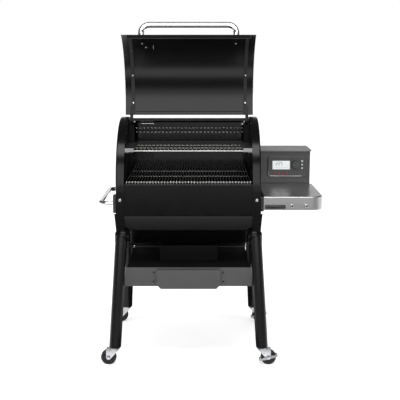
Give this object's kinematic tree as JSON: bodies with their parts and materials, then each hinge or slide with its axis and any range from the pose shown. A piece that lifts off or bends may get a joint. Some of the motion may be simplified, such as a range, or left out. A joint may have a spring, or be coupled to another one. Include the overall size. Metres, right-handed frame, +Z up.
{
  "type": "pellet smoker grill",
  "caption": "Free-standing pellet smoker grill with a hinged curved lid, wire grates, rear hopper, side controller and shelf, grease drawer and swivel casters.",
  "frame": {"origin": "on the floor under the middle of the whole object's box, lid open as stored", "axes": "+Z up, -Y the front where the cook stands, +X towards the shelf and controller"},
  "size_m": [1.096, 0.8374, 1.6515],
  "materials": {
    "black_enamel": "satin powder coat, near black",
    "inner_steel": "dark, smoke-stained steel",
    "leg_paint": "satin powder coat, charcoal",
    "grey_paint": "satin powder coat, mid grey",
    "hood_paint": "satin powder coat, light grey",
    "grate_steel": "nickel-plated wire",
    "bright_chrome": "polished",
    "zinc": "bright zinc plate",
    "wheel_rubber": "hard black tread",
    "brushed_stainless": "brushed along its length",
    "bracket_plastic": "black, fine texture",
    "panel_gloss": "black, semi-gloss",
    "lens": "backlit display lens",
    "jack_red": "red rings",
    "board_green": "green laminate with parts",
    "auger_steel": "worn steel"
  },
  "bodies": {
    "chassis": {"auger_motor": "zinc", "auger_tube": "zinc", "bottom_shield": "inner_steel", "circuit_board": "board_green", "control_panel": "panel_gloss", "controller_hood": "hood_paint", "controller_housing": "black_enamel", "display_lens": "lens", "end_cap_left": "black_enamel", "end_cap_right": "black_enamel", "end_liners": "inner_steel", "fan_housing": "zinc", "fire_pot": "inner_steel", "frame_bolts": "zinc", "front_crossbar": "grey_paint", "front_legs": "leg_paint", "front_panel": "black_enamel", "funnel_floor": "inner_steel", "heat_baffles": "inner_steel", "hinge_brackets": "inner_steel", "hopper_body": "black_enamel", "hopper_guard": "grate_steel", "leg_brackets": "black_enamel", "main_grate": "grate_steel", "power_inlet": "bracket_plastic", "probe_jacks": "jack_red", "rack_hangers": "bright_chrome", "rear_crossbar": "grey_paint", "rear_legs": "leg_paint", "rear_shell": "inner_steel", "service_cover": "black_enamel", "side_brackets": "bracket_plastic", "side_handle": "bright_chrome", "side_shelf": "brushed_stainless", "temperature_probe": "inner_steel", "tool_pegs": "bright_chrome", "warming_rack": "grate_steel"},
    "lid": {"lid_shell": "black_enamel", "lid_arms": "inner_steel", "lid_screws": "zinc", "lid_handle": "bright_chrome"},
    "drawer": {"drawer_face": "grey_paint", "drawer_tray": "zinc"},
    "dial": {"dial": "panel_gloss"},
    "button_1": {"button_1": "panel_gloss"},
    "button_2": {"button_2": "panel_gloss"},
    "button_3": {"button_3": "panel_gloss"},
    "hopper_lid": {"hopper_lid": "black_enamel"},
    "auger": {"auger": "auger_steel"},
    "fan_impeller": {"fan_impeller": "bracket_plastic"},
    "brake_front_right": {"brake_front_right": "bright_chrome"},
    "brake_rear_right": {"brake_rear_right": "bright_chrome"},
    "caster_front_left": {"fork_front_left": "zinc"},
    "wheel_front_left": {"wheel_front_left": "wheel_rubber"},
    "caster_front_right": {"fork_front_right": "zinc"},
    "wheel_front_right": {"wheel_front_right": "wheel_rubber"},
    "caster_rear_left": {"fork_rear_left": "zinc"},
    "wheel_rear_left": {"wheel_rear_left": "wheel_rubber"},
    "caster_rear_right": {"fork_rear_right": "zinc"},
    "wheel_rear_right": {"wheel_rear_right": "wheel_rubber"}
  },
  "joints": [
    {"name": "lid_hinge", "type": "hinge", "parent": "chassis", "child": "lid", "pos_m": [-0.108, 0.04, 1.157], "axis": [1, 0, 0], "range_deg": [0, 108.9]},
    {"name": "drawer_slide", "type": "slide", "parent": "chassis", "child": "drawer", "axis": [0, -1, 0], "range_m": [0, 0.24]},
    {"name": "dial_turn", "type": "hinge", "parent": "chassis", "child": "dial", "pos_m": [0.46, 0.142, 0.914], "axis": [0, -1, 0], "continuous": true},
    {"name": "hopper_lid_hinge", "type": "hinge", "parent": "chassis", "child": "hopper_lid", "pos_m": [-0.108, 0.413, 1.124], "axis": [1, 0, 0], "range_deg": [-95, 0]},
    {"name": "auger_turn", "type": "hinge", "parent": "chassis", "child": "auger", "pos_m": [-0.108, 0.2, 0.575], "axis": [0, 1, 0], "continuous": true},
    {"name": "fan_turn", "type": "hinge", "parent": "chassis", "child": "fan_impeller", "pos_m": [-0.286, 0.23, 0.6], "axis": [0, 1, 0], "continuous": true},
    {"name": "button_1_press", "type": "slide", "parent": "chassis", "child": "button_1", "axis": [0, 1, 0], "range_m": [0, 0.0015], "stiffness_N_per_m": 400, "springref_m": -0.001},
    {"name": "button_2_press", "type": "slide", "parent": "chassis", "child": "button_2", "axis": [0, 1, 0], "range_m": [0, 0.0015], "stiffness_N_per_m": 400, "springref_m": -0.001},
    {"name": "button_3_press", "type": "slide", "parent": "chassis", "child": "button_3", "axis": [0, 1, 0], "range_m": [0, 0.0015], "stiffness_N_per_m": 400, "springref_m": -0.001},
    {"name": "swivel_front_left", "type": "hinge", "parent": "chassis", "child": "caster_front_left", "pos_m": [-0.466, -0.389, 0.09], "axis": [0, 0, 1], "continuous": true},
    {"name": "roll_front_left", "type": "hinge", "parent": "caster_front_left", "child": "wheel_front_left", "pos_m": [-0.498, -0.389, 0.0375], "axis": [0, 1, 0], "continuous": true},
    {"name": "swivel_front_right", "type": "hinge", "parent": "chassis", "child": "caster_front_right", "pos_m": [0.25, -0.389, 0.09], "axis": [0, 0, 1], "continuous": true},
    {"name": "roll_front_right", "type": "hinge", "parent": "caster_front_right", "child": "wheel_front_right", "pos_m": [0.282, -0.389, 0.0375], "axis": [0, 1, 0], "continuous": true},
    {"name": "swivel_rear_left", "type": "hinge", "parent": "chassis", "child": "caster_rear_left", "pos_m": [-0.466, 0.261, 0.09], "axis": [0, 0, 1], "continuous": true},
    {"name": "roll_rear_left", "type": "hinge", "parent": "caster_rear_left", "child": "wheel_rear_left", "pos_m": [-0.498, 0.261, 0.0375], "axis": [0, 1, 0], "continuous": true},
    {"name": "swivel_rear_right", "type": "hinge", "parent": "chassis", "child": "caster_rear_right", "pos_m": [0.25, 0.261, 0.09], "axis": [0, 0, 1], "continuous": true},
    {"name": "roll_rear_right", "type": "hinge", "parent": "caster_rear_right", "child": "wheel_rear_right", "pos_m": [0.282, 0.261, 0.0375], "axis": [0, 1, 0], "continuous": true},
    {"name": "brake_front_right_press", "type": "hinge", "parent": "caster_front_right", "child": "brake_front_right", "pos_m": [0.282, -0.389, 0.0375], "axis": [0, 1, 0], "range_deg": [0, 14]},
    {"name": "brake_rear_right_press", "type": "hinge", "parent": "caster_rear_right", "child": "brake_rear_right", "pos_m": [0.282, 0.261, 0.0375], "axis": [0, 1, 0], "range_deg": [0, 14]}
  ]
}
